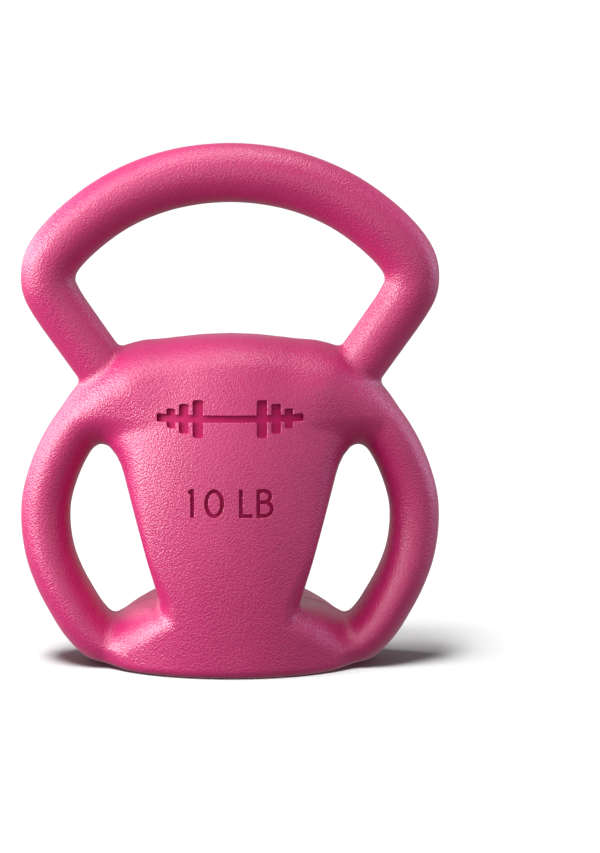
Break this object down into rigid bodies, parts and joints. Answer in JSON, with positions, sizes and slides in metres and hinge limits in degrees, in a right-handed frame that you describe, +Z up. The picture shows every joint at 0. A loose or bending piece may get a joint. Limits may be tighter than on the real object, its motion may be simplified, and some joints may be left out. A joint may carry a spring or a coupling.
{
  "type": "kettlebell",
  "caption": "Moulded plastic kettlebell filled with cement, with a broad handle over the top, a curved grip down each side and a flat oval base.",
  "frame": {"origin": "on the floor under the middle of the base, which is the bottom centre of the bounding box", "axes": "+Z up to the top handle, +X towards the right-hand side grip as seen from the front, +Y from the front face to the back face"},
  "size_m": [0.2216, 0.1044, 0.2746],
  "materials": {
    "shell_plastic": "satin",
    "cement": "matte",
    "rod_steel": "satin",
    "plug_plastic": "satin",
    "gasket_rubber": "matte"
  },
  "bodies": {
    "root": {"front_shell": "shell_plastic", "back_shell": "shell_plastic", "cement_core": "cement", "top_handle_rod": "rod_steel", "left_handle_rod": "rod_steel", "right_handle_rod": "rod_steel", "fill_plug": "plug_plastic", "plug_gasket": "gasket_rubber"}
  },
  "joints": []
}
